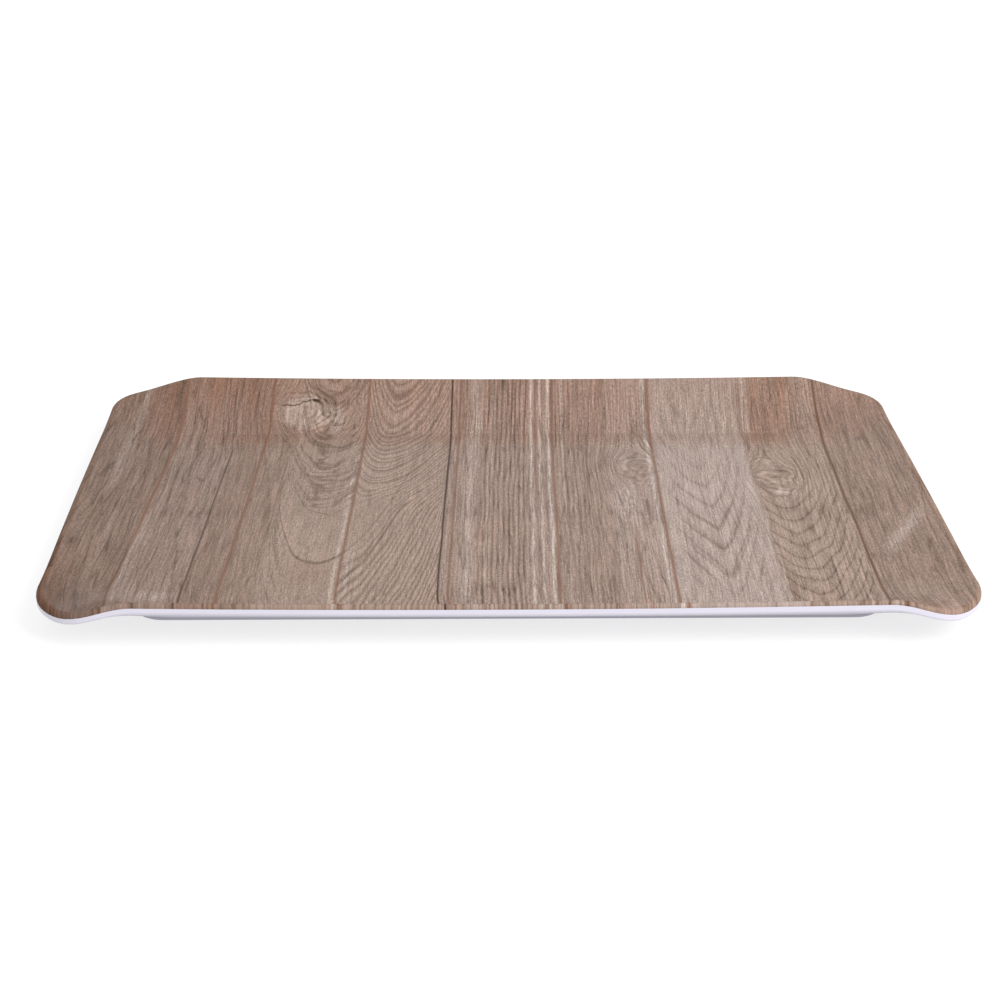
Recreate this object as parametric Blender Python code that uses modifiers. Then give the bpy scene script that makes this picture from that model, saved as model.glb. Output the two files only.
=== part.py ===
"""Moulded serving tray: a white melamine body with a printed decor foil and a clear glaze layer.

Frame: X runs along the tray, Y across it and Z up. The origin is on the table, under the middle
of the tray. All lengths are in metres.
"""
import math

import bmesh
import bpy

# Overall sizes
LENGTH = 0.4628
WIDTH = 0.306
CORNER_RADIUS = 0.0337        # plan size of the four rounded corners
CORNER_SQUARENESS = 2.23      # 2 is a true quarter circle, more is squarer
END_BOW = 0.0014              # how far each end bows outwards at its middle

# Heights above the table
RIM_HEIGHT = 0.0273           # crest of the long rims beside their middle
END_RIM_HEIGHT = 0.0209       # crest of the two end rims
CORNER_SAG = 0.0006           # the crest sags this much just before each corner
RIM_DIP = 0.0015              # how far each long rim sinks at its middle
FLOOR_HEIGHT = 0.0050         # serving floor

# Shape of the walls and the flared ends
WALL_RUN = 0.0370             # from the rim to the bend at the foot of a long wall
BEND_RADIUS = 0.0100          # radius of that bend
WALL_HOLLOW = 0.15            # 0 is a straight wall, 1 a wall that starts level and steepens
CORNER_REACH = 0.0320         # how far inside a long wall's foot a corner starts to rise
MELT_START = 0.0680           # from an end: the bend starts to melt into the corner
MELT_END = 0.0300             # from an end: it has melted away
FLARE_RUN = 0.0500            # from an end rim to where the floor starts to rise
FLARE_POWER = 1.80            # 1 is a straight ramp, 2 a parabola
SHOULDER_START = 0.0495       # from a corner's end: the long rim starts to come down
SHOULDER_END = 0.0130         # from a corner's end: it is down at the end rim's height

# Body
FLOOR_THICKNESS = 0.0034      # floor of the tray with its skin
EDGE_THICKNESS = 0.0058       # height of the rim's edge
EDGE_BOTTOM_INSET = 0.0009    # the underside meets the rounded edge this far in
FOOT_HEIGHT = FLOOR_HEIGHT - FLOOR_THICKNESS
FOOT_WIDTH = 0.0060
FOOT_BEND_REACH = 0.0012      # how far the foot ring passes the bend at the foot of a long wall
FOOT_END_REACH = 0.0070       # how far the foot ring passes the place where the end starts to rise
FOOT_CORNER_RADIUS = 0.0160
FOOT_ROUNDING = 0.0005
FOOT_ROOT = 0.0014            # the foot ring reaches this far into the body

# Skin: the foil and the glaze over it, which both wrap over the rim
FOIL_THICKNESS = 0.0003
GLAZE_THICKNESS = 0.0003
SKIN_GAP = 0.0003             # clearance between two layers
LIP_INSET = 0.0026            # the rounded lip starts this far inside the outline
WRAP_DROP = 0.0010            # the skin runs this far down the edge below the lip

# Mesh density
STRAIGHT_COLUMNS = 9          # columns from the middle to a corner
COLUMN_CROWDING = 1.6         # more than 1 brings the columns closer towards the corner
CORNER_COLUMNS = 5
FLOOR_ROWS = 2
WALL_ROWS = 3
LIP_STEPS = 3
EDGE_ROUND_STEPS = 2
FOOT_CORNER_STEPS = 6

HALF_LENGTH = LENGTH / 2 - END_BOW
HALF_WIDTH = WIDTH / 2
BEND_Y = HALF_WIDTH - WALL_RUN
FLARE_X = HALF_LENGTH - FLARE_RUN
FOIL_DEPTH = GLAZE_THICKNESS + SKIN_GAP
BODY_DEPTH = FOIL_DEPTH + FOIL_THICKNESS + SKIN_GAP
COLUMNS = 2 * (STRAIGHT_COLUMNS + CORNER_COLUMNS)
ROWS = 2 * (FLOOR_ROWS + 2 + WALL_ROWS)

WHITE = (0.78, 0.77, 0.83, 1.0)
WOOD = (0.35, 0.27, 0.23, 1.0)
CLEAR = (0.92, 0.92, 0.92, 1.0)


def clamp(value):
    return min(1.0, max(0.0, value))


def smooth(share):
    share = clamp(share)
    return share * share * (3 - 2 * share)


def rim_crest(x):
    """Height of the rim's highest line at a place along the tray."""
    start = HALF_LENGTH - SHOULDER_START
    end = HALF_LENGTH - SHOULDER_END
    shoulder = smooth((abs(x) - start) / (end - start))
    dip = RIM_DIP * max(0.0, 1 - (x / start) ** 2)
    sag = CORNER_SAG * shoulder * smooth((HALF_LENGTH - abs(x)) / SHOULDER_END)
    return RIM_HEIGHT - (RIM_HEIGHT - END_RIM_HEIGHT) * shoulder - dip - sag


def flare(x, rise):
    """How far the flared end has risen above the flat at a place along the tray."""
    return rise * clamp((abs(x) - FLARE_X) / FLARE_RUN) ** FLARE_POWER


def wall_share(x, distance, run):
    """Share of a wall's rise at a distance from its bend: a rounded bend, then a hollow wall.

    Towards the ends this melts into one soft bowl."""
    half_bend = min(BEND_RADIUS / 4, run / 2)
    if distance <= -half_bend:
        share = 0.0
    elif distance < half_bend:
        share = (distance + half_bend) ** 2 / (4 * half_bend * run)
    else:
        share = distance / run
    wall = share * (1 - WALL_HOLLOW) + share ** 2 * WALL_HOLLOW
    bowl = clamp((distance + CORNER_REACH) / (run + CORNER_REACH)) ** 2
    melt = smooth((MELT_START - (HALF_LENGTH - abs(x))) / (MELT_START - MELT_END))
    return wall + (bowl - wall) * melt


def column_place(index, inset):
    """Place of a column of the grid, the grid's edge there and the outline's direction."""
    side = -1 if index < COLUMNS // 2 else 1
    step = abs(index - COLUMNS // 2)
    straight = HALF_LENGTH - CORNER_RADIUS
    radius = CORNER_RADIUS - inset
    if step <= STRAIGHT_COLUMNS:
        share = 1 - (1 - step / STRAIGHT_COLUMNS) ** COLUMN_CROWDING
        return side * straight * share, HALF_WIDTH - inset, 0.0
    turn = math.pi / 2 * (step - STRAIGHT_COLUMNS) / CORNER_COLUMNS
    sine, cosine = math.sin(turn), max(0.0, math.cos(turn))
    along = radius * sine ** (2 / CORNER_SQUARENESS)
    across = radius * cosine ** (2 / CORNER_SQUARENESS)
    facing = math.atan2(sine ** (2 - 2 / CORNER_SQUARENESS), cosine ** (2 - 2 / CORNER_SQUARENESS))
    return side * (straight + along), HALF_WIDTH - CORNER_RADIUS + across, side * facing


def row_place(index, edge):
    """Place of a row of the grid where the grid's edge is at a given distance."""
    side = -1 if index < ROWS // 2 else 1
    step = abs(index - ROWS // 2)
    half_bend = BEND_RADIUS / 4
    if step <= FLOOR_ROWS:
        return side * (BEND_Y - half_bend) * step / FLOOR_ROWS
    if step <= FLOOR_ROWS + 2:
        return side * (BEND_Y + half_bend * (step - FLOOR_ROWS - 1))
    wall_start = BEND_Y + half_bend
    return side * (wall_start + (edge - wall_start) * (step - FLOOR_ROWS - 2) / WALL_ROWS)


def sheet_height(x, y, edge, drop, flat_height):
    """Height of a sheet that is flat in the middle, flares at the ends and rises to the rims.

    Its edge lies a given drop below the rim's crest."""
    middle = flat_height + flare(x, rim_crest(HALF_LENGTH) - drop - flat_height)
    rise = rim_crest(x) - drop - middle
    return middle + rise * wall_share(x, abs(y) - BEND_Y, edge - BEND_Y)


def edge_at(x, inset):
    """Distance from the middle line to the outline, inset by a given amount."""
    straight = HALF_LENGTH - CORNER_RADIUS
    radius = CORNER_RADIUS - inset
    past = min(radius, max(0.0, abs(x) - straight))
    across = (radius ** CORNER_SQUARENESS - past ** CORNER_SQUARENESS) ** (1 / CORNER_SQUARENESS)
    return HALF_WIDTH - CORNER_RADIUS + across


def bow_ends(bm):
    """Stretch the two ends so that they bow outwards, most at their middle."""
    for vert in bm.verts:
        x, y = vert.co.x, vert.co.y
        share = clamp((abs(x) - FLARE_X) / FLARE_RUN) * (1 - (y / HALF_WIDTH) ** 2)
        vert.co.x = x + math.copysign(END_BOW * share, x)


def add_sheet(bm, inset, drop, flat_height):
    """Add a grid shaped as a tray sheet, and return its border as vertex: (direction, slope)."""
    made = bmesh.ops.create_grid(bm, x_segments=COLUMNS, y_segments=ROWS, size=1.0)
    border = {}
    for vert in made["verts"]:
        column = round((vert.co.x + 1) / 2 * COLUMNS)
        row = round((vert.co.y + 1) / 2 * ROWS)
        x, edge, turn = column_place(column, inset)
        y = row_place(row, edge)
        vert.co = (x, y, sheet_height(x, y, edge, drop, flat_height))
        if column in (0, COLUMNS) or row in (0, ROWS):
            across = -1 if row < ROWS / 2 else 1
            if column in (0, COLUMNS):
                direction = (math.copysign(1, x), 0.0)
            else:
                direction = (math.sin(turn), across * math.cos(turn))
            border[vert] = (direction, slope_at(vert.co, direction, inset, drop, flat_height))
    return border


def slope_at(place, direction, inset, drop, flat_height):
    """Angle at which a sheet rises towards the outline, at its edge."""
    step = 0.0005
    x = place.x - direction[0] * step
    y = place.y - direction[1] * step
    inner = sheet_height(x, y, edge_at(x, inset), drop, flat_height)
    return math.atan2(place.z - inner, step)


def grow_ring(bm, border, place_for):
    """Extrude the border of a sheet once, and put each new vertex at place_for(its data)."""
    edges = [edge for edge in bm.edges if edge.is_boundary and set(edge.verts) <= set(border)]
    made = bmesh.ops.extrude_edge_only(bm, edges=edges)["geom"]
    grown = {}
    for vert in (item for item in made if isinstance(item, bmesh.types.BMVert)):
        source = next(e.other_vert(vert) for e in vert.link_edges if e.other_vert(vert) in border)
        grown[vert] = border[source]
        vert.co = place_for(border[source])
    return grown


def skin_surface(depth):
    """Outer surface of a skin layer, depth below the outside: the sheet, the lip and the wrap."""
    bm = bmesh.new()
    edge = add_sheet(bm, LIP_INSET, 0.0, FLOOR_HEIGHT)
    border = {}
    for vert, (direction, slope) in edge.items():
        radius = LIP_INSET / (1 + math.sin(slope))
        vert.co.z -= radius * (1 - math.cos(slope))
        centre = lip_point(vert.co, direction, radius * math.sin(slope), -radius * math.cos(slope))
        border[vert] = (direction, slope, radius, centre)
    for step in range(1, LIP_STEPS + 1):
        share = step / LIP_STEPS

        def on_lip(data, share=share):
            direction, slope, radius, centre = data
            angle = slope - (slope + math.pi / 2) * share
            return lip_point(centre, direction, -radius * math.sin(angle), radius * math.cos(angle))

        border = grow_ring(bm, border, on_lip)
    border = grow_ring(bm, border, lambda data: lip_point(data[3], data[0], data[2], -WRAP_DROP))
    bmesh.ops.recalc_face_normals(bm, faces=bm.faces)
    face_up(bm)
    if depth > 0:
        bm.normal_update()
        moves = [(vert, vert.normal * depth * vert.calc_shell_factor()) for vert in bm.verts]
        for vert, move in moves:
            vert.co -= move
    return bm, border


def lip_point(base, direction, outwards, upwards):
    return (base[0] + direction[0] * outwards, base[1] + direction[1] * outwards, base[2] + upwards)


def face_up(bm):
    """Turn an open sheet's faces so that its middle faces up."""
    middle = min(bm.faces, key=lambda face: face.calc_center_median().length)
    if middle.normal.z < 0:
        bmesh.ops.reverse_faces(bm, faces=bm.faces)


def new_object(name, bm, collection, colour, roughness):
    mesh = bpy.data.meshes.new(name)
    bm.to_mesh(mesh)
    bm.free()
    mesh.shade_smooth()
    mesh.set_sharp_from_angle(angle=math.radians(35))
    material = bpy.data.materials.new(name + "_finish")
    material.use_nodes = True
    shader = material.node_tree.nodes["Principled BSDF"]
    shader.inputs["Base Color"].default_value = colour
    shader.inputs["Roughness"].default_value = roughness
    shader.inputs["Metallic"].default_value = 0.0
    mesh.materials.append(material)
    item = bpy.data.objects.new(name, mesh)
    collection.objects.link(item)
    return item


def make_skin_layer(name, depth, thickness, collection, colour, roughness):
    """A thin layer: an open surface thickened downwards."""
    bm, _ = skin_surface(depth)
    bow_ends(bm)
    layer = new_object(name, bm, collection, colour, roughness)
    wall = layer.modifiers.new("thickness", "SOLIDIFY")
    wall.thickness = thickness
    wall.offset = -1
    wall.use_even_offset = True
    return layer


def make_foot_ring(collection):
    """Guide for the moulded foot: a ring with round corners that starts inside the body."""
    half_x = FLARE_X + FOOT_END_REACH
    half_y = BEND_Y + FOOT_BEND_REACH
    curve = bpy.data.curves.new("foot_ring", "CURVE")
    curve.dimensions = "2D"
    curve.fill_mode = "BOTH"
    curve.extrude = (FOOT_HEIGHT + FOOT_ROOT) / 2
    for inset in (0.0, FOOT_WIDTH):
        points = rounded_outline(half_x - inset, half_y - inset, FOOT_CORNER_RADIUS - inset)
        spline = curve.splines.new("POLY")
        spline.points.add(len(points) - 1)
        for point, (x, y) in zip(spline.points, points):
            point.co = (x, y, 0.0, 1.0)
        spline.use_cyclic_u = True
    drawn = bpy.data.objects.new("foot_ring_outline", curve)
    drawn.location.z = curve.extrude
    collection.objects.link(drawn)
    bpy.context.view_layer.update()
    mesh = bpy.data.meshes.new_from_object(drawn.evaluated_get(bpy.context.evaluated_depsgraph_get()))
    bm = bmesh.new()
    bm.from_mesh(mesh)
    bmesh.ops.remove_doubles(bm, verts=bm.verts, dist=0.00001)
    bmesh.ops.transform(bm, matrix=drawn.matrix_world, verts=bm.verts)
    bpy.data.objects.remove(drawn)
    bpy.data.meshes.remove(mesh)
    low_edges = [e for e in bm.edges if max(v.co.z for v in e.verts) < FOOT_ROUNDING
                 and e.calc_face_angle(0.0) > math.radians(60)]
    bmesh.ops.bevel(bm, geom=low_edges, offset=FOOT_ROUNDING, segments=1, affect="EDGES")
    ring = new_object("foot_ring", bm, collection, WHITE, 0.3)
    ring.hide_render = True
    ring.display_type = "WIRE"
    return ring


def rounded_outline(half_x, half_y, radius):
    """Points of a rectangle with round corners, counter-clockwise."""
    points = []
    for corner, (sign_x, sign_y) in enumerate(((1, 1), (-1, 1), (-1, -1), (1, -1))):
        for step in range(FOOT_CORNER_STEPS + 1):
            angle = math.pi / 2 * (corner + step / FOOT_CORNER_STEPS)
            points.append((sign_x * (half_x - radius) + radius * math.cos(angle),
                           sign_y * (half_y - radius) + radius * math.sin(angle)))
    return points


def make_body(collection, cutters):
    """White moulding: the seat for the skin, the rim's edge, the underside and the foot ring."""
    bm, border = skin_surface(BODY_DEPTH)
    step_drop = WRAP_DROP + SKIN_GAP
    for inset in (BODY_DEPTH, 0.0):
        border = grow_ring(bm, border, lambda data, inset=inset: lip_point(
            data[3], data[0], data[2] - inset, -step_drop))
    underside = bmesh.new()
    lower = add_sheet(underside, EDGE_BOTTOM_INSET, EDGE_THICKNESS, FOOT_HEIGHT)
    room = EDGE_THICKNESS - LIP_INSET - step_drop - SKIN_GAP
    roundings = {}
    for vert, (direction, slope) in lower.items():
        radius = EDGE_BOTTOM_INSET / (1 - math.sin(slope))
        height = min(radius * math.cos(slope), room)
        roundings[vert] = (direction, slope, radius, height, vert.co.copy())
    for step in range(1, EDGE_ROUND_STEPS + 1):
        share = step / EDGE_ROUND_STEPS

        def on_rounding(data, share=share):
            direction, slope, radius, height, start = data
            angle = slope + (math.pi / 2 - slope) * share
            outwards = radius * (math.sin(angle) - math.sin(slope))
            return lip_point(start, direction, outwards, height * (1 - math.cos(angle) / math.cos(slope)))

        roundings = grow_ring(underside, roundings, on_rounding)
    scrap = bpy.data.meshes.new("underside")
    underside.to_mesh(scrap)
    underside.free()
    bm.from_mesh(scrap)
    bpy.data.meshes.remove(scrap)
    open_edges = [edge for edge in bm.edges if edge.is_boundary]
    bmesh.ops.bridge_loops(bm, edges=open_edges)
    bmesh.ops.recalc_face_normals(bm, faces=bm.faces)
    if bm.calc_volume(signed=True) < 0:
        bmesh.ops.reverse_faces(bm, faces=bm.faces)
    bow_ends(bm)
    body = new_object("tray_body", bm, collection, WHITE, 0.3)
    joined = body.modifiers.new("foot ring", "BOOLEAN")
    joined.operation = "UNION"
    joined.object = make_foot_ring(cutters)
    return body


def main():
    for item in list(bpy.data.objects):
        bpy.data.objects.remove(item)
    parts = bpy.data.collections.new("serving_tray")
    cutters = bpy.data.collections.new("cutters")
    bpy.context.scene.collection.children.link(parts)
    bpy.context.scene.collection.children.link(cutters)
    make_body(parts, cutters)
    make_skin_layer("decor_foil", FOIL_DEPTH, FOIL_THICKNESS, parts, WOOD, 0.5)
    make_skin_layer("glaze_layer", 0.0, GLAZE_THICKNESS, parts, CLEAR, 0.3)


main()
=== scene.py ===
import math

import bpy
from mathutils import Matrix, Vector


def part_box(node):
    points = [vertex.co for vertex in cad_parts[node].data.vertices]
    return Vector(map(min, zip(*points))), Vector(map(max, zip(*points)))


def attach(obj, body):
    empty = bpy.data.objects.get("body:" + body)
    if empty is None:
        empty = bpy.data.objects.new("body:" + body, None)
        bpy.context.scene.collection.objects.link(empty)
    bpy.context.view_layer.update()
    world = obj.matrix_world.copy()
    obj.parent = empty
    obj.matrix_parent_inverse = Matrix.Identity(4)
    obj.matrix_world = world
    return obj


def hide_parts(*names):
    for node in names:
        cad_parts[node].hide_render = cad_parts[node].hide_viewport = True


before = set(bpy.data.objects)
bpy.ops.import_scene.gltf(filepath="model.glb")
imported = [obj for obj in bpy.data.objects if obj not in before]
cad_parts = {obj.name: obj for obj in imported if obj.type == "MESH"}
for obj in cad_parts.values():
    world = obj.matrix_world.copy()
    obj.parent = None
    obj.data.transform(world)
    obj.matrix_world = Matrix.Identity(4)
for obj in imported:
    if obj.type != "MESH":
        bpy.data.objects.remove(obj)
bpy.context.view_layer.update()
print("stage: frame loaded")

# Everything is in metres: X along the tray, Y away from the camera, Z up from the table.
# The clear layer lies outermost, so it gives the tray's outline.
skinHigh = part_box("glaze_layer")[1]

tray = {
    "endBow": 0.0014,           # how far each end bows outwards at its middle
    "halfWidth": skinHigh.y,
    "cornerRadius": 0.0337,
    "cornerSquareness": 2.23,   # 2 is a true quarter circle
    "rimHeight": 0.0273,        # crest of the long rims beside their middle
    "endRimHeight": 0.0209,     # crest of the end rims
    "cornerDip": 0.0006,        # the crest sags this much just before each corner
    "rimDip": 0.0015,           # how far each long rim sinks at its middle
    "floorHeight": 0.0050,
    "wallRun": 0.0370,          # rim to the bend at the foot of a long wall
    "bendRadius": 0.0100,
    "wallHollow": 0.15,
    "cornerSoftness": 0.0320,   # how far inside a long wall's foot a corner starts to rise
    "softStart": 0.0680,        # from an end: the bend starts to melt into the corner
    "softEnd": 0.0300,
    "flareRun": 0.0500,         # end rim to where the floor starts to rise
    "flarePower": 1.80,
    "shoulderStart": 0.0495,    # from an end: the long rim starts to come down
    "shoulderEnd": 0.0130,      # from an end: it is down at the end rim's height
    "lipInset": 0.0026,         # the rounded lip starts this far inside the outline
}
tray["halfLength"] = skinHigh.x - tray["endBow"]


def clamp(value, low=0.0, high=1.0):
    return min(high, max(low, value))


def smooth(share):
    # 0 to 1 with a soft start and a soft end
    share = clamp(share)
    return share * share * (3 - 2 * share)


def rimCrest(x):
    # height of the long rims: level, then down a shoulder to the end rims
    start = tray["halfLength"] - tray["shoulderStart"]
    end = tray["halfLength"] - tray["shoulderEnd"]
    shoulder = smooth((abs(x) - start) / (end - start))
    dip = tray["rimDip"] * max(0.0, 1 - (x / start) ** 2)
    fromEnd = tray["halfLength"] - abs(x)
    sag = tray["cornerDip"] * shoulder * smooth(fromEnd / tray["shoulderEnd"])
    return tray["rimHeight"] - (tray["rimHeight"] - tray["endRimHeight"]) * shoulder - dip - sag


def wallShare(distance, run, softShare):
    # rounded bend first, then a slightly hollow wall; a corner is one soft bowl
    halfBend = min(tray["bendRadius"] / 4, run / 2)
    if distance <= -halfBend:
        share = 0.0
    elif distance < halfBend:
        share = (distance + halfBend) ** 2 / (4 * halfBend * run)
    else:
        share = distance / run
    share = share * (1 - tray["wallHollow"]) + share ** 2 * tray["wallHollow"]
    soft = clamp((distance + tray["cornerSoftness"]) / (run + tray["cornerSoftness"])) ** 2
    return share * (1 - softShare) + soft * softShare


def sheetHeight(x, y, edge, drop, flatHeight):
    # a sheet that is flat in the middle and ends a given drop below the rim's crest
    flareStart = tray["halfLength"] - tray["flareRun"]
    endRise = tray["endRimHeight"] - drop - flatHeight
    climb = clamp((abs(x) - flareStart) / tray["flareRun"]) ** tray["flarePower"]
    middle = flatHeight + endRise * climb
    rise = rimCrest(x) - drop - middle
    bendY = tray["halfWidth"] - tray["wallRun"]
    fromEnd = tray["halfLength"] - abs(x)
    softShare = smooth((tray["softStart"] - fromEnd) / (tray["softStart"] - tray["softEnd"]))
    return middle + rise * wallShare(abs(y) - bendY, edge - bendY, softShare)


def edgeAt(x, inset):
    # half the width of the outline at x, taken in by an inset
    radius = tray["cornerRadius"] - inset
    past = clamp(abs(x) - (tray["halfLength"] - tray["cornerRadius"]), 0.0, radius)
    power = tray["cornerSquareness"]
    return (tray["halfWidth"] - tray["cornerRadius"]
            + (radius ** power - past ** power) ** (1 / power))


gridPlan = {
    "straightColumns": 44,      # from the middle to a corner
    "crowding": 1.35,           # above 1 the columns come closer towards the corner
    "cornerColumns": 14,
    "floorRows": 18,
    "bendRows": 6,
    "wallRows": 9,
}
columnCount = 2 * (gridPlan["straightColumns"] + gridPlan["cornerColumns"])
rowCount = 2 * (gridPlan["floorRows"] + gridPlan["bendRows"] + gridPlan["wallRows"])


def columnPlace(index, inset):
    # x of a column, the grid's edge there, and the edge's direction as an angle
    side = -1 if index < columnCount // 2 else 1
    step = abs(index - columnCount // 2)
    straight = tray["halfLength"] - tray["cornerRadius"]
    radius = tray["cornerRadius"] - inset
    if step <= gridPlan["straightColumns"]:
        share = 1 - (1 - step / gridPlan["straightColumns"]) ** gridPlan["crowding"]
        return side * straight * share, tray["halfWidth"] - inset, 0.0
    turn = math.pi / 2 * (step - gridPlan["straightColumns"]) / gridPlan["cornerColumns"]
    power = tray["cornerSquareness"]
    sine, cosine = math.sin(turn), max(math.cos(turn), 1e-9)
    edge = tray["halfWidth"] - tray["cornerRadius"] + radius * cosine ** (2 / power)
    facing = math.atan2(sine ** (2 - 2 / power), cosine ** (2 - 2 / power))
    return side * (straight + radius * sine ** (2 / power)), edge, side * facing


def rowPlace(index, edge):
    # y of a row in a column whose edge is given
    side = -1 if index < rowCount // 2 else 1
    step = abs(index - rowCount // 2)
    bendY = tray["halfWidth"] - tray["wallRun"]
    halfBend = tray["bendRadius"] / 4
    if step <= gridPlan["floorRows"]:
        return side * (bendY - halfBend) * step / gridPlan["floorRows"]
    step -= gridPlan["floorRows"]
    if step <= gridPlan["bendRows"]:
        return side * (bendY - halfBend + 2 * halfBend * step / gridPlan["bendRows"])
    step -= gridPlan["bendRows"]
    wallStart = bendY + halfBend
    return side * (wallStart + (edge - wallStart) * step / gridPlan["wallRows"])


def lipPoint(base, direction, outwards, upwards):
    return Vector((base[0] + direction[0] * outwards, base[1] + direction[1] * outwards,
                   base[2] + upwards))


slopeStep = 0.0005              # the rim's slope is taken over this distance


def addSheet(name, inset, drop, flatHeight):
    # a grid primitive shaped into a tray sheet, with what its border needs to know
    bpy.ops.object.select_all(action="DESELECT")
    bpy.ops.mesh.primitive_grid_add(x_subdivisions=columnCount, y_subdivisions=rowCount,
                                    size=2, location=(0, 0, 0))
    sheet = bpy.context.object
    sheet.name = name
    sheet.data.name = name
    border = {}
    for vert in sheet.data.vertices:
        column = round((vert.co.x + 1) / 2 * columnCount)
        row = round((vert.co.y + 1) / 2 * rowCount)
        x, edge, turn = columnPlace(column, inset)
        y = rowPlace(row, edge)
        vert.co = (x, y, sheetHeight(x, y, edge, drop, flatHeight))
        if column in (0, columnCount) or row in (0, rowCount):
            across = -1 if row < rowCount / 2 else 1
            direction = (math.sin(turn), across * math.cos(turn))
            if column in (0, columnCount):
                direction = (math.copysign(1, x), 0.0)
            innerX = x - direction[0] * slopeStep
            innerY = y - direction[1] * slopeStep
            inner = sheetHeight(innerX, innerY, edgeAt(innerX, inset), drop, flatHeight)
            border[vert.index] = (direction, math.atan2(vert.co.z - inner, slopeStep))
    return sheet, border


def selectOnly(item, chosen):
    # leaves the item in edit mode with only the chosen vertices and their edges selected
    bpy.ops.object.select_all(action="DESELECT")
    item.select_set(True)
    bpy.context.view_layer.objects.active = item
    bpy.ops.object.mode_set(mode="EDIT")
    bpy.ops.mesh.select_mode(type="VERT")
    bpy.ops.mesh.select_all(action="DESELECT")
    bpy.ops.object.mode_set(mode="OBJECT")
    for index in chosen:
        item.data.vertices[index].select = True
    bpy.ops.object.mode_set(mode="EDIT")
    bpy.ops.mesh.select_mode(type="EDGE")


def placeKey(place):
    # two vertices at one place get the same key
    return tuple(round(part, 7) for part in place)


def growRing(item, border, placeFor):
    # extrude the border edges once; the new vertices keep the order of the old ones
    old = sorted(border)
    places = {index: item.data.vertices[index].co.copy() for index in old}
    selectOnly(item, old)
    bpy.ops.mesh.extrude_region_move(TRANSFORM_OT_translate={"value": (0, 0, 0)})
    bpy.ops.object.mode_set(mode="OBJECT")
    sources = {placeKey(places[index]): index for index in old}
    grown = {vert.index: border[sources[placeKey(vert.co)]]
             for vert in item.data.vertices if vert.select}
    for index, data in grown.items():
        item.data.vertices[index].co = placeFor(data)
    return grown


def bowEnds(item):
    # stretch both ends so that they bow outwards, most at their middle
    flareStart = tray["halfLength"] - tray["flareRun"]
    for vert in item.data.vertices:
        x, y = vert.co.x, vert.co.y
        share = clamp((abs(x) - flareStart) / tray["flareRun"])
        bow = tray["endBow"] * share * (1 - (y / tray["halfWidth"]) ** 2)
        vert.co.x = x + math.copysign(bow, x)


def rollOut(flat, border, share, extra):
    # where the border's vertices lie once the lip is rolled out flat
    for index, (direction, slope, radius, centre) in border.items():
        reach = radius * ((slope + math.pi / 2) * share - math.sin(slope)) + extra
        flat[index] = (centre[0] + direction[0] * reach, centre[1] + direction[1] * reach)


def addSkinSurface(name):
    # the printed top as a bare surface: floor, walls, rounded lip and the band down the edge;
    # returns it, its border, and where each vertex lies with the lip rolled out flat
    sheet, edge = addSheet(name, tray["lipInset"], 0.0, tray["floorHeight"])
    flat = {vert.index: (vert.co.x, vert.co.y) for vert in sheet.data.vertices}
    border = {}
    for index, (direction, slope) in edge.items():
        vert = sheet.data.vertices[index]
        radius = tray["lipInset"] / (1 + math.sin(slope))
        vert.co.z -= radius * (1 - math.cos(slope))
        centre = lipPoint(vert.co, direction, radius * math.sin(slope), -radius * math.cos(slope))
        border[index] = (direction, slope, radius, centre)
    for step in range(1, skin["lipSteps"] + 1):
        def onLip(data, share=step / skin["lipSteps"]):
            direction, slope, radius, centre = data
            angle = slope - (slope + math.pi / 2) * share
            return lipPoint(centre, direction, -radius * math.sin(angle), radius * math.cos(angle))
        border = growRing(sheet, border, onLip)
        rollOut(flat, border, step / skin["lipSteps"], 0.0)
    border = growRing(sheet, border,
                      lambda data: lipPoint(data[3], data[0], data[2], -wrapDrop(data[3])))
    rollOut(flat, border, 1.0, skin["wrapMiddle"])
    return sheet, border, flat


def faceUpwards(item):
    # an open sheet whose middle faces up
    selectOnly(item, [])
    bpy.ops.mesh.select_all(action="SELECT")
    bpy.ops.mesh.normals_make_consistent(inside=False)
    bpy.ops.object.mode_set(mode="OBJECT")
    if item.data.polygons[len(item.data.polygons) // 2].normal.z < 0:
        item.data.flip_normals()


def closeGap():
    # in edit mode: bridge the two open borders and turn all faces outwards
    bpy.ops.mesh.select_mode(type="EDGE")
    bpy.ops.mesh.select_all(action="DESELECT")
    bpy.ops.mesh.select_non_manifold(extend=False)
    bpy.ops.mesh.bridge_edge_loops()
    bpy.ops.mesh.select_all(action="SELECT")
    bpy.ops.mesh.normals_make_consistent(inside=False)
    bpy.ops.object.mode_set(mode="OBJECT")


def applyModifier(item, kind, **settings):
    modifier = item.modifiers.new(kind.lower(), kind)
    for key, value in settings.items():
        setattr(modifier, key, value)
    bpy.ops.object.select_all(action="DESELECT")
    item.select_set(True)
    bpy.context.view_layer.objects.active = item
    bpy.ops.object.modifier_apply(modifier=modifier.name)


def smoothShade(item, degrees):
    bpy.ops.object.select_all(action="DESELECT")
    item.select_set(True)
    bpy.context.view_layer.objects.active = item
    bpy.ops.object.shade_smooth_by_angle(angle=math.radians(degrees))


# The printed skin. Its print lies a little off centre, so it comes further down the edge
# at the near left than at the near right.
skin = {
    "thickness": 0.0004,
    "seat": 0.00004,            # hairline between the skin and the body under it
    "wrapMiddle": 0.0004,       # how far it runs down the edge below the lip
    "wrapShift": 0.0002,        # how much more or less at the two sides
    "shiftAlong": 0.15,         # the shift is full this far from the middle
    "shiftAcross": 0.10,
    "lipSteps": 7,
}
smoothAngle = 40                # degrees; sharper edges stay sharp


def wrapDrop(place):
    # how far the skin runs down the edge at this place of the rim
    shift = (clamp(-place[0] / skin["shiftAlong"], -1, 1)
             * clamp(-place[1] / skin["shiftAcross"], -1, 1))
    return skin["wrapMiddle"] + skin["wrapShift"] * shift


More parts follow.
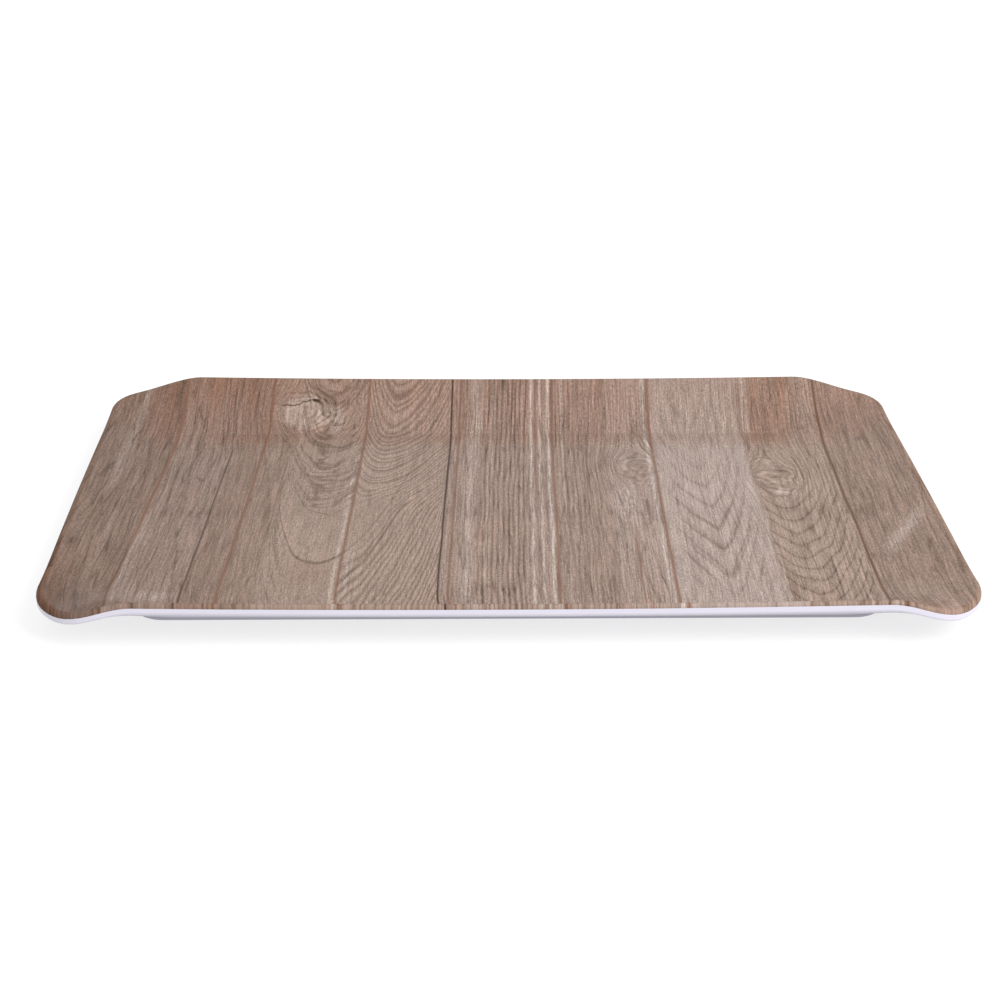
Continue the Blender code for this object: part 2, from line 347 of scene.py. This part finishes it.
printedSkin, _, flatPlaces = addSkinSurface("printed_skin")
topCount = len(printedSkin.data.polygons)
faceUpwards(printedSkin)
bowEnds(printedSkin)
applyModifier(printedSkin, "SOLIDIFY", thickness=skin["thickness"], offset=-1,
              use_even_offset=True)
smoothShade(printedSkin, smoothAngle)

# A map for baking the print: the top fills nearly the whole square, the hidden side a strip
printMap = {
    "length": 0.478,
    "width": 0.322,
    "margin": 0.008,
    "stripStart": 0.965,
}
layer = printedSkin.data.uv_layers.new(name="OFBake")
corners = printedSkin.data.loops
for polygon in printedSkin.data.polygons:
    onTop = polygon.index < topCount
    for loop in polygon.loop_indices:
        place = printedSkin.data.vertices[corners[loop].vertex_index]
        along, across = flatPlaces.get(place.index, (place.co.x, place.co.y))
        along = clamp(along / printMap["length"] + 0.5)
        across = clamp(across / printMap["width"] + 0.5)
        low, high = printMap["margin"], printMap["stripStart"] - printMap["margin"]
        if not onTop:
            low, high = printMap["stripStart"], 1 - printMap["margin"]
        layer.data[loop].uv = (along, low + (high - low) * across)
printedSkin.data.uv_layers.active = layer
print("stage: printed skin")

body = {
    "edgeThickness": 0.0058,
    "edgeBottomInset": 0.0009,
    "edgeRoundSteps": 6,
    "underside": 0.0016,        # height of the underside above the table
}
foot = {
    "width": 0.0060,
    "bendReach": 0.0012,        # how far it passes the bend at the foot of a long wall
    "endReach": 0.0070,         # how far it passes the place where an end starts to rise
    "cornerRadius": 0.0160,
    "rounding": 0.0009,
    "root": 0.0012,             # how far it reaches into the body
    "cornerSteps": 16,
    "roundSteps": 4,
}


def footOutline(inset):
    # a rectangle with round corners, counter-clockwise
    halfX = tray["halfLength"] - tray["flareRun"] + foot["endReach"] - inset
    halfY = tray["halfWidth"] - tray["wallRun"] + foot["bendReach"] - inset
    radius = foot["cornerRadius"] - inset
    points = []
    for corner, (signX, signY) in enumerate(((1, 1), (-1, 1), (-1, -1), (1, -1))):
        for step in range(foot["cornerSteps"] + 1):
            angle = math.pi / 2 * (corner + step / foot["cornerSteps"])
            points.append((signX * (halfX - radius) + radius * math.cos(angle),
                           signY * (halfY - radius) + radius * math.sin(angle)))
    return points


def addFootRing():
    # one loop after another: down the outside, across the sole, up the inside
    top = body["underside"] + foot["root"]
    loops = [(0.0, top)]
    for step in range(foot["roundSteps"] + 1):
        angle = math.pi / 2 * step / foot["roundSteps"]
        loops.append((foot["rounding"] * (1 - math.cos(angle)),
                      foot["rounding"] * (1 - math.sin(angle))))
    loops += [(foot["width"] - inset, z) for inset, z in reversed(loops)]
    count = 4 * (foot["cornerSteps"] + 1)
    bpy.ops.object.select_all(action="DESELECT")
    bpy.ops.mesh.primitive_circle_add(vertices=count, radius=1, location=(0, 0, 0))
    ring = bpy.context.object
    for index, (inset, z) in enumerate(loops):
        if index > 0:
            bpy.ops.object.mode_set(mode="EDIT")
            bpy.ops.mesh.select_mode(type="EDGE")
            bpy.ops.mesh.extrude_region_move(TRANSFORM_OT_translate={"value": (0, 0, 0)})
            bpy.ops.object.mode_set(mode="OBJECT")
        newest = ring.data.vertices[index * count:]
        for vert, (x, y) in zip(newest, footOutline(inset)):
            vert.co = (x, y, z)
        if index == 0:
            selectOnly(ring, range(count))
            bpy.ops.object.mode_set(mode="OBJECT")
    bpy.ops.object.mode_set(mode="EDIT")
    closeGap()
    return ring


def addBody():
    # the top surface one skin lower, the underside as a second sheet, and a bridge between them
    depth = skin["thickness"] + skin["seat"]
    sheet, border, _ = addSkinSurface("melamine_body")
    faceUpwards(sheet)
    places = [vert.co - vert.normal * depth for vert in sheet.data.vertices]
    for vert, place in zip(sheet.data.vertices, places):
        vert.co = place
    border = growRing(sheet, border, lambda data: lipPoint(
        data[3], data[0], data[2] - depth, -wrapDrop(data[3]) - skin["seat"]))
    border = growRing(sheet, border, lambda data: lipPoint(
        data[3], data[0], data[2], -wrapDrop(data[3]) - skin["seat"]))
    lower, edge = addSheet("melamine_underside", body["edgeBottomInset"], body["edgeThickness"],
                           body["underside"])
    rounding = {}
    for index, (direction, slope) in edge.items():
        radius = body["edgeBottomInset"] / (1 - math.sin(slope))
        centre = lipPoint(lower.data.vertices[index].co, direction, -radius * math.sin(slope),
                          radius * math.cos(slope))
        rounding[index] = (direction, slope, radius, centre)
    for step in range(1, body["edgeRoundSteps"] + 1):
        def onRounding(data, share=step / body["edgeRoundSteps"]):
            direction, slope, radius, centre = data
            angle = slope + (math.pi / 2 - slope) * share
            return lipPoint(centre, direction, radius * math.sin(angle), -radius * math.cos(angle))
        rounding = growRing(lower, rounding, onRounding)
    bpy.ops.object.select_all(action="DESELECT")
    lower.select_set(True)
    sheet.select_set(True)
    bpy.context.view_layer.objects.active = sheet
    bpy.ops.object.join()
    bpy.ops.object.mode_set(mode="EDIT")
    closeGap()
    bowEnds(sheet)
    ring = addFootRing()
    applyModifier(sheet, "BOOLEAN", operation="UNION", object=ring)
    bpy.data.objects.remove(ring)
    return sheet


melamineBody = addBody()
smoothShade(melamineBody, smoothAngle)
print("stage: melamine body")


class Value:
    # a number that varies over the surface, so that a pattern can be written as arithmetic
    def __init__(self, maker, socket):
        self.maker = maker
        self.socket = socket

    def math(self, operation, *others):
        return self.maker.node("ShaderNodeMath", {"operation": operation},
                               dict(enumerate((self, *others))), 0)

    def mathBefore(self, operation, other):
        # the other number comes first
        return self.maker.node("ShaderNodeMath", {"operation": operation},
                               {0: other, 1: self}, 0)

    def __add__(self, other):
        return self.math("ADD", other)

    __radd__ = __add__

    def __sub__(self, other):
        return self.math("SUBTRACT", other)

    def __rsub__(self, other):
        return self.mathBefore("SUBTRACT", other)

    def __mul__(self, other):
        return self.math("MULTIPLY", other)

    __rmul__ = __mul__

    def __truediv__(self, other):
        return self.math("DIVIDE", other)

    def __rtruediv__(self, other):
        return self.mathBefore("DIVIDE", other)

    def __pow__(self, other):
        return self.math("POWER", other)

    def __neg__(self):
        return self.math("MULTIPLY", -1.0)

    def __abs__(self):
        return self.math("ABSOLUTE")

    def root(self):
        return self.math("SQRT")

    def sine(self):
        return self.math("SINE")

    def atLeast(self, low):
        return self.math("MAXIMUM", low)

    def atMost(self, high):
        return self.math("MINIMUM", high)

    def rise(self, start, end):
        # 0 at the start, 1 at the end, smooth between; the end may be the lower number
        return self.maker.node("ShaderNodeMapRange", {"interpolation_type": "SMOOTHSTEP"},
                               {"Value": self, "From Min": start, "From Max": end}, "Result")

    def hump(self, centre, width):
        # 1 at the centre, 0 from one width away
        share = (self - centre) / width
        return (1 - share * share).atLeast(0.0) ** 2

    def between(self, low, high, soft):
        return self.rise(low - soft, low + soft) * self.rise(high + soft, high - soft)


class Maker:
    # adds nodes to one node tree
    def __init__(self, tree):
        self.tree = tree

    def node(self, kind, settings, inputs, output):
        node = self.tree.nodes.new(kind)
        for key, value in settings.items():
            setattr(node, key, value)
        for key, value in inputs.items():
            self.feed(node.inputs[key], value)
        return Value(self, node.outputs[output])

    def feed(self, port, value):
        if isinstance(value, Value):
            self.tree.links.new(value.socket, port)
        else:
            port.default_value = value


class Finish(Maker):
    # a material with one shader
    def __init__(self, name):
        self.material = bpy.data.materials.new(name)
        self.material.use_nodes = True
        super().__init__(self.material.node_tree)
        self.shader = self.tree.nodes["Principled BSDF"]

    def use(self, port, value):
        self.feed(self.shader.inputs[port], value)

    def cover(self, item):
        item.data.materials.clear()
        item.data.materials.append(self.material)


class Pattern(Finish):
    # a finish that knows the place on the piece, in millimetres
    def __init__(self, name):
        super().__init__(name)
        place = self.node("ShaderNodeTexCoord", {}, {}, "Object")
        self.x, self.y, self.z = (
            self.node("ShaderNodeSeparateXYZ", {}, {0: place}, part) * 1000 for part in "XYZ")

    def noise(self, x, y, seed, detail=0.0, roughness=0.5):
        # about -1 to 1
        place = self.node("ShaderNodeCombineXYZ", {}, {0: x, 1: y, 2: seed}, 0)
        level = self.node("ShaderNodeTexNoise", {"noise_dimensions": "3D"},
                          {"Vector": place, "Scale": 1.0, "Detail": detail,
                           "Roughness": roughness}, 0)
        return (level - 0.5) * 2.8

    def mix(self, share, first, second):
        colours = [(*entry, 1.0) if isinstance(entry, tuple) else entry
                   for entry in (first, second)]
        return self.node("ShaderNodeMix", {"data_type": "RGBA"},
                         {0: share, 6: colours[0], 7: colours[1]}, 2)

    def scaled(self, colour, factor):
        return self.node("ShaderNodeVectorMath", {"operation": "SCALE"},
                         {0: colour, "Scale": factor}, 0)

    def rimInset(self):
        # how far inside the tray's outline, in millimetres
        radius = tray["cornerRadius"] * 1000
        outX = (abs(self.x) - (tray["halfLength"] * 1000 - radius)).atLeast(0.0)
        outY = (abs(self.y) - (tray["halfWidth"] * 1000 - radius)).atLeast(0.0)
        return radius - (outX * outX + outY * outY).root()


# The print: weathered planks that run across the tray. Its lengths are in millimetres.
# Each plank: where it starts on the tray's long middle line, and its colour.
planks = [
    (-240.0, (0.177, 0.116, 0.089)),
    (-195.0, (0.210, 0.146, 0.118)),
    (-160.6, (0.194, 0.130, 0.102)),
    (-142.5, (0.203, 0.139, 0.109)),
    (-125.0, (0.227, 0.163, 0.131)),
    (-32.7, (0.229, 0.162, 0.133)),
    (60.0, (0.256, 0.190, 0.160)),
    (87.0, (0.283, 0.222, 0.194)),
    (141.5, (0.248, 0.180, 0.145)),
    (189.0, (0.210, 0.144, 0.114)),
]
glaze = {
    "lightness": 1.06,          # of the whole print
    "grain": 1.0,               # how strong the figure is
    "roughness": 0.5,
    "coat": 0.50,
    "rimCoat": 0.10,            # the coat is thinner on the lip
    "coatRoughness": 0.20,
}
tint = {
    "brown": (0.138, 0.060, 0.032),   # seams
    "umber": (0.088, 0.040, 0.020),   # the darker seams
    "groove": (0.055, 0.026, 0.013),  # grain lines
    "ink": (0.026, 0.010, 0.004),     # open joints and the crack
    "chalk": (0.40, 0.335, 0.300),    # worn streaks
    # this colour also serves for painted shade and a painted reflection, in the stains below
    "rustAndShade": (0.175, 0.085, 0.052),    # stains
    "olive": (0.195, 0.150, 0.105),   # faint clouds
}

# How the planks lie: they lean and fan out a little, and the near left corner turns outwards
lay = {
    "lean": 0.031,
    "fan": 0.00008,
    "cornerTurn": 7.0,
}
knots = {                       # centres of the three knots
    "pale": (-116, 130),
    "small": (79, 62),
    "end": (153.5, 50),
}
plankEdges = {                  # left and right edge of the planks with their own figure
    "archedLeft": (-124, -84),
    "archedRight": (-84, -32.7),
    "light": (88, 141),
    "end": (143, 187),
}

wood = Pattern("plankPrint")
x, y = wood.x, wood.y
lean = ((x - y * lay["lean"]) / (1 - y * lay["fan"])
        - y.rise(-95, -160) * x.rise(60, -60) * lay["cornerTurn"])
wander = wood.noise(lean / 24, y / 60, 3.1) * 0.7 + wood.noise(lean / 7, y / 22, 5.3) * 0.3


def bend(centre, across, along, strength):
    # grain flows round a knot the way water flows round a stone
    dx = x - centre[0]
    dy = (y - centre[1]) * (across / along)
    square = (dx * dx + dy * dy).atLeast(across * across)
    return dx * (across * across * strength) / square


def oval(centre, across, along):
    # 0 at the centre, 1 on the oval with these half widths
    dx = (x - centre[0]) / across
    dy = (y - centre[1]) / along
    return (dx * dx + dy * dy).root()


def arches(middle, left, right, line):
    # height of the tip of the arch that passes here; left and right are (width, power)
    dx = line - middle
    climbRight = (dx.atLeast(0.0) / right[0]) ** right[1]
    climbLeft = ((-dx).atLeast(0.0) / left[0]) ** left[1]
    return y - climbRight - climbLeft


def waves(value, seed):
    # -1 to 1 and back once for every whole number, not quite evenly
    return (value * math.tau + wood.noise(value / 3, y / 80, seed) * 1.6).sine()


def threads(across, along, spacing, width, seed):
    # thin wavering lines, like open grain
    swing = wood.noise(across / spacing, along, seed, 1.0)
    return (1 - abs(swing) / width).atLeast(0.0)


def lines(entries):
    # thin lines along the planks, each from its own entry
    total = 0.0
    for across, place, width, strength, *stretches in entries:
        line = across.hump(place, width) * strength
        for stretch in stretches:
            line = line * y.rise(*stretch)
        total = line + total
    return total


def carved(wave, depth):
    # a dark groove with a light ridge beside it
    return wave.rise(0.25, 0.9) * depth - (-wave).rise(0.35, 0.95) * (depth * 0.45)


def etched(wave, depth):
    # a thinner line with a wide, barely lighter field beside it
    return wave.rise(0.60, 1.0) * depth - (-wave).rise(0.2, 0.9) * (depth * 0.12)


seam = lean + wood.noise(y / 45, lean / 60, 61.0) * 0.35
knotFlow = (bend((154, 50), 11, 22, 0.9) + bend((77, 64), 10, 20, 0.9)
            + bend(knots["pale"], 15, 13, 0.8))
grainLine = lean + wander - knotFlow

# fibres: fine, long and everywhere
fibre = wood.noise(grainLine / 1.2, y / 22, 11.0, 2.0, 0.7)
pores = wood.noise(grainLine / 0.7, y / 4.2, 12.0, 1.0, 0.6)
speckle = wood.noise(x / 0.8, y / 1.6, 14.0, 1.0, 0.7)
broad = wood.noise(grainLine / 5.5, y / 85, 15.0, 2.0, 0.6)
cloud = wood.noise(x / 26, y / 38, 16.0, 2.0)
cloudTwo = wood.noise(x / 15, y / 30, 17.0, 2.0)
wear = wood.noise(grainLine / 1.7, y / 45, 18.0, 2.0, 0.65)

# dark grain lines of the straight planks
fineThreads = threads(grainLine, y / 60, 1.9, 0.24, 21.0)
wideThreads = threads(grainLine, y / 90, 5.0, 0.11, 22.0)
evenWaves = waves(grainLine / 2.8, 23.0)
evenZone = lean.between(-13, 13, 3) + lean.between(28, 56, 4) * 0.55
inStraight = (1 - lean.between(-124, -33.5, 2) * 0.75
              - lean.between(*plankEdges["light"], 2) * 0.6)

# the arched plank, on both sides of its brown seam
tipWarp = wood.noise(x / 13, y / 11, 31.0, 1.0) * y.rise(-10, 60) * 5.0
leftArch = (arches(-98.5, (5.4, 2.78), (3.0, 1.754), x) + tipWarp
            + wood.noise(x / 9, y / 30, 32.0) * 1.2)
upperMiddle = (y - 20) * 0.11 - 75
upperArch = arches(upperMiddle, (2.4, 1.85), (3.77, 1.85), x) * 2.5 - 70
rightBlend = y.rise(-15, 50)
rightArch = (leftArch * (1 - rightBlend) + upperArch * rightBlend
             + wood.noise(x / 6, y / 40, 33.0) * 2.5)
inLeft = lean.between(*plankEdges["archedLeft"], 1.5)
inRight = lean.between(*plankEdges["archedRight"], 0.5)

archCount = (rightArch / (12.5 + rightBlend * 4.0)
             + wood.noise(x / 30, rightArch / 22, 36.0) * 0.5)
archWaves = waves(archCount, 34.0)
archFade = 1 - rightArch.rise(-88, -66) * (1 - rightBlend)
archEdge = leftArch.hump(-62.5, 3.5) * (1 - leftArch.rise(-62.5, -60.5) * 0.6)
archGlow = leftArch.between(-61, -50, 4)
secondEdge = leftArch.hump(-95, 5) * (1 - rightBlend)
bandThreads = threads(leftArch + cloudTwo, x / 26, 9.0, 0.17, 35.0)
bandZone = leftArch.rise(-12, 0)
outerThreads = (threads(leftArch, x / 12, 26.0, 0.14, 37.0) * leftArch.rise(-66, -80)
                * x.rise(-112, -124))

# the nested arches of the light plank and, closer together, of the end plank
faintArch = arches(114.5, (1.15, 1.35), (0.85, 1.35), x) + wood.noise(x / 14, y / 45, 41.0) * 4
faintWaves = waves(faintArch / 27 + cloudTwo * 0.15, 42.0)
faintZone = lean.between(95, 136, 4) * (0.4 + 0.6 * y.rise(-100, -70) * y.rise(70, 20))
faintTips = (faintArch.hump(-80, 5) + faintArch.hump(-44, 6) * 0.7
             + faintArch.hump(-20, 4) * 0.6) * lean.between(98, 133, 5)
endArch = arches(157.0, (2.6, 1.7), (2.6, 1.7), x) + wood.noise(x / 11, y / 32, 43.0) * 3
endWaves = waves(endArch / 15 + cloudTwo * 0.2, 44.0)
endZone = lean.between(*plankEdges["end"], 1) * y.rise(44, 20)

# knots
ringWarp = wood.noise(x / 7, y / 9, 51.0, 1.0) * 0.12
slowWarp = wood.noise(x / 12, y / 16, 56.0)
paleKnot = oval(knots["pale"], 17, 11.5) + ringWarp * 0.6
paleRings = oval((-119, 131), 17, 12) + ringWarp
paleWaves = waves(paleRings * 4.2, 52.0)
paleZone = paleKnot.rise(1.5, 1.1) * (x.rise(-116, -109) + y.rise(134, 138) * 0.7).atMost(1.0)
crackLine = y - 134.3 - x.rise(-124, -112) * 3.6 + wood.noise(x / 3, 0, 55.0) * 0.7
crack = (crackLine.hump(0, 0.8) * x.between(-131, -108, 1.0)
         + oval((-111, 137.2), 2.4, 1.3).rise(1.0, 0.4))
smallKnot = oval(knots["small"], 9, 15) + ringWarp * 1.6 + slowWarp * 0.35
smallWaves = waves(smallKnot * 1.9, 53.0)
smallZone = smallKnot.rise(1.9, 1.0) * (0.30 + 0.70 * (smallKnot + cloud * 0.7).rise(0.3, 1.0))
endKnot = oval(knots["end"], 13, 22) + ringWarp * 1.4 + slowWarp * 0.35
endKnotWaves = waves(endKnot * 2.4, 54.0)
endKnotZone = endKnot.rise(1.5, 1.0) * x.rise(143, 147)

# how dark the figure is: the straight grain, then each plank's own figure, knots and pores
straightGrain = fineThreads * 0.34 + wideThreads * 0.30 + carved(evenWaves, 0.34) * evenZone
leftFigure = archEdge * 0.56 + bandThreads * bandZone * 0.52 + outerThreads * 0.45
rightFigure = (carved(archWaves, 0.42) * archFade * (0.8 + 0.35 * cloud)
               + archEdge * 0.34 + secondEdge * 0.30)
lightFigure = faintTips * 0.26 + fineThreads * 0.14
knotFigure = (carved(smallWaves, 0.22) * smallZone + carved(endKnotWaves, 0.30) * endKnotZone
              + carved(paleWaves, 0.30) * paleZone)
figure = (straightGrain * inStraight + leftFigure * inLeft + rightFigure * inRight
          + wideThreads * lean.rise(-155, -165) * 0.12
          + lightFigure * lean.between(93, 138, 4)
          + etched(faintWaves, 0.27) * faintZone + etched(endWaves, 0.30) * endZone
          + carved(evenWaves, 0.2) * lean.between(168, 186, 3)
          + knotFigure
          + pores.rise(0.10, 0.75) * (0.30 - lean.between(*plankEdges["light"], 3) * 0.14))
glow = archGlow * 0.07 * inLeft + (-figure).atLeast(0.0)
rimInset = wood.rimInset()
texture = (fibre * 0.34 + speckle * 0.46 + broad * 0.16 + cloud * 0.05
           + (-pores).rise(0.10, 0.75) * 0.38) * (0.45 + 0.55 * rimInset.rise(0.5, 3.0))
# painted light and shade: darker towards the left end and most in the near left corner, lighter
# towards the right end, where more light falls
paintedShadeLeft = 1 - x.rise(-150, -226) * 0.14 - x.rise(-185, -225) * y.rise(-70, -130) * 0.22
paintedLightRight = 1 + x.rise(175, 226) * 0.14
shade = (1.0 + glow) * (1 + texture) * paintedShadeLeft * paintedLightRight

colour = planks[0][1]
for start, tone in planks[1:]:
    colour = wood.mix(lean.rise(start - 1.2, start + 1.2), colour, tone)
colour = wood.mix(cloudTwo.rise(0.0, 0.9) * 0.22, colour, tint["olive"])

# rusty stains: the far ends of the planks, clouds and a few patches; the same colour also paints
# shade in the near left corner and a dark reflection of the far wall on the floor in front of it
rustyBands = [                  # left and right edge, their softness, where it comes in, strength
    (-213, -198, 4, (60, 130), 0.40),
    (-188, -150, 8, (120, 150), 0.40),
    (146, 172, 5, (70, 125), 0.40),
]
# painted reflection: the darker band at y 96 to 116 mm, on the floor just in front of the far wall;
# painted shade: the near left corner
stainAndShade = (y.rise(85, 150) * 0.40 + cloud.rise(0.1, 1.0) * 0.30 + y.between(96, 116, 8) * 0.15
         + x.rise(-205, -224) * y.rise(-40, -140) * 0.9
         + lean.between(-110, -94, 5) * y.between(-86, -64, 5) * 0.25)
for left, right, soft, comesIn, strength in rustyBands:
    stainAndShade = stainAndShade + lean.between(left, right, soft) * y.rise(*comesIn) * strength
colour = wood.mix((stainAndShade * (0.8 + 0.5 * broad)).atMost(0.9), colour, tint["rustAndShade"])

# pale worn streaks: the line followed, its place, half its width, its strength, and the
# stretches over which it comes in or fades out along the plank
paleStreaks = [
    (grainLine, -217, 4.5, 0.22, (0, 40)),
    (grainLine, -207, 3.0, 0.10),
    (grainLine, -192, 3.0, 0.20, (10, -20)),
    (grainLine, -18.5, 5.5, 0.34),
    (grainLine, -8, 1.4, 0.30),
    (seam, 15.5, 1.5, 0.75),
    (seam, 20.5, 1.4, 0.60),
    (seam, 25.6, 1.5, 0.80),
    (grainLine, 35, 1.6, 0.25),
    (lean, 84.2, 1.9, 0.80),
    (grainLine, 142, 2.4, 0.20),
    (grainLine, 145.5, 2.5, 0.40, (108, 122)),
    (lean, -86.5, 1.7, 0.45, (90, 40)),
    (grainLine, -79, 3.0, 0.30, (-25, -60), (-108, -80)),
]
palePatches = [                 # centre, half width, half length, where it fades in, strength
    ((-98, 126), 6, 10, (1.2, 0.3), 0.35),
    ((158, 26), 8, 6, (1.2, 0.4), 0.30),
    ((67, 12), 10, 28, (1.2, 0.3), 0.25),
    ((-178, -101), 10, 7, (1.3, 0.3), 0.30),
]
patches = paleKnot.rise(1.25, 0.6) * 0.38
for centre, halfWidth, halfLength, comesIn, strength in palePatches:
    patches = patches + oval(centre, halfWidth, halfLength).rise(*comesIn) * strength
slantLine = y + 44 - (x - 207) * 1.35 + wood.noise(x / 6, y / 6, 62.0, 1.0) * 7
slant = slantLine.hump(0, 14) * x.between(198, 222, 6) * 0.46
worn = ((lines(paleStreaks) + patches + slant) * (0.9 + 0.7 * fibre)
        + wear.rise(0.30, 0.95) * 0.36)
colour = wood.mix(worn.atMost(0.85), colour, tint["chalk"])
colour = wood.mix((figure * glaze["grain"]).atLeast(0.0).atMost(1.0), colour, tint["groove"])
colour = wood.scaled(colour, shade)

# seams between the planks, listed in the same way
brownSeams = [
    (seam, -142.3, 1.3, 0.90),
    (seam, -84.0, 1.25, 0.85),
    (seam, 87.2, 1.5, 0.85),
    (seam, -27.8, 1.0, 0.80),
    (seam, 28.2, 1.3, 0.85),
    (seam, -6.5, 0.8, 0.50, (-5, -40)),
    (seam, 17.9, 1.0, 0.70, (-40, 60)),
    (seam, 70.5, 0.9, 0.70, (-10, -40)),
    (seam, -195.0, 1.5, 0.90, (-60, -20)),
    (seam, -147.5, 1.0, 0.50, (30, 90), (120, 110)),
]
umberSeams = [
    (seam, 190.0, 1.3, 0.95),
    (seam, -195.3, 1.2, 0.90, (-20, -75)),
]
openJoints = [
    (seam, -32.9, 1.0, 0.95),
    (seam, -160.7, 0.95, 0.75, (98, 78)),
]
colour = wood.mix((lines(brownSeams) * (0.9 + 0.3 * fibre)).atMost(1.0), colour, tint["brown"])
colour = wood.mix(lines(umberSeams).atMost(1.0), colour, tint["umber"])
colour = wood.mix((lines(openJoints) + crack * 0.8).atMost(1.0), colour, tint["ink"])
colour = wood.scaled(colour, glaze["lightness"])

wood.use("Base Color", colour)
wood.use("Roughness", glaze["roughness"])
wood.use("Specular IOR Level", 0.0)
wood.use("Coat Weight",
         glaze["rimCoat"] + rimInset.rise(0.8, 3.2) * (glaze["coat"] - glaze["rimCoat"]))
wood.use("Coat Roughness", glaze["coatRoughness"])
wood.cover(printedSkin)
print("stage: plank print")

# The moulded body: polished white edge, duller underside painted darker as shade, with faint flow
# marks
white = {
    "edge": (0.50, 0.48, 0.55),
    # painted shade: the underside gets a darker colour than the edge
    "under": (0.36, 0.345, 0.40),
    "roughness": 0.28,
    "underRoughness": 0.5,
    "flow": 0.03,
}
melamine = Pattern("whiteMelamine")
inset = melamine.rimInset()
# painted shade: darker below the rim's height and away from the outline; the same mask makes it
# rougher
under = inset.rise(0.9, 5.0) * melamine.z.rise(22.5, 19.5)
flow = melamine.noise(melamine.x / 40, melamine.y / 40, 71.0, 3.0, 0.6)
tone = melamine.mix(under, white["edge"], white["under"])
melamine.use("Base Color", melamine.scaled(tone, 1 + flow * white["flow"]))
melamine.use("Roughness", under * (white["underRoughness"] - white["roughness"])
             + white["roughness"])
melamine.cover(melamineBody)
print("stage: white melamine")

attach(printedSkin, "root")
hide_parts("decor_foil", "glaze_layer")
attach(melamineBody, "root")
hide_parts("tray_body")

# Pale floor that also glows a little, like a lit table, and soft light from all round
studio = {
    "floorSize": 6.0,
    "floorColour": (0.25, 0.25, 0.25),
    "floorRoughness": 0.9,
    "floorGlow": 0.71,
    "airStrength": 0.95,
    "airSlope": (0.10, -0.20, 0.10),    # brighter towards the right, the front and overhead
    "boxPlace": (0.95, -1.05, 1.25),
    "boxSize": (0.9, 0.9),
    "boxPower": 30,
}
bpy.ops.object.select_all(action="DESELECT")
bpy.ops.mesh.primitive_plane_add(size=studio["floorSize"], location=(0, 0, 0))
studioFloor = bpy.context.object
studioFloor.name = "studio_floor"
paleFloor = Finish("paleFloor")
paleFloor.use("Base Color", (*studio["floorColour"], 1))
paleFloor.use("Roughness", studio["floorRoughness"])
paleFloor.use("Emission Color", (1, 1, 1, 1))
paleFloor.use("Emission Strength", studio["floorGlow"])
paleFloor.cover(studioFloor)

world = bpy.data.worlds.new("studioAir")
bpy.context.scene.world = world
world.use_nodes = True
air = Maker(world.node_tree)
direction = air.node("ShaderNodeTexCoord", {}, {}, "Generated")
slope = air.node("ShaderNodeVectorMath", {"operation": "DOT_PRODUCT"},
                 {0: direction, 1: studio["airSlope"]}, "Value")
background = world.node_tree.nodes["Background"]
air.feed(background.inputs["Strength"], slope + studio["airStrength"])
air.feed(background.inputs["Color"], (1, 1, 1, 1))


light = bpy.data.lights.new("topBox", "AREA")
light.shape = "RECTANGLE"
light.size, light.size_y = studio["boxSize"]
light.energy = studio["boxPower"]
lamp = bpy.data.objects.new("topBox", light)
bpy.context.scene.collection.objects.link(lamp)
lamp.location = studio["boxPlace"]
lamp.rotation_euler = (-Vector(studio["boxPlace"])).to_track_quat("-Z", "Y").to_euler()

# Camera
camera = {
    "lens": 72.0,               # millimetres
    "sensor": 36.0,
    "distance": 1.0905,
    "pitch": 24.0,              # degrees down
    "yaw": 1.590,               # degrees
    "roll": 0.496,              # degrees
    "target": (-0.00250, 0.0, 0.01240),
}
pitch = math.radians(camera["pitch"])
yaw = math.radians(camera["yaw"])
roll = math.radians(camera["roll"])
ahead = Vector((math.sin(yaw) * math.cos(pitch), math.cos(yaw) * math.cos(pitch), -math.sin(pitch)))
level = Vector((math.cos(yaw), -math.sin(yaw), 0))
upright = level.cross(ahead)
sideways = level * math.cos(roll) + upright * math.sin(roll)
upwards = -level * math.sin(roll) + upright * math.cos(roll)
turnMatrix = Matrix((sideways, upwards, -ahead)).transposed()
cameraData = bpy.data.cameras.new("camera")
cameraData.lens = camera["lens"]
cameraData.sensor_width = camera["sensor"]
cameraData.sensor_fit = "HORIZONTAL"
cameraData.clip_start = 0.01
cameraItem = bpy.data.objects.new("camera", cameraData)
bpy.context.scene.collection.objects.link(cameraItem)
cameraItem.matrix_world = Matrix.Translation(
    Vector(camera["target"]) - ahead * camera["distance"]) @ turnMatrix.to_4x4()
bpy.context.scene.camera = cameraItem
bpy.context.scene.view_settings.view_transform = "Standard"
print("stage: studio and camera")
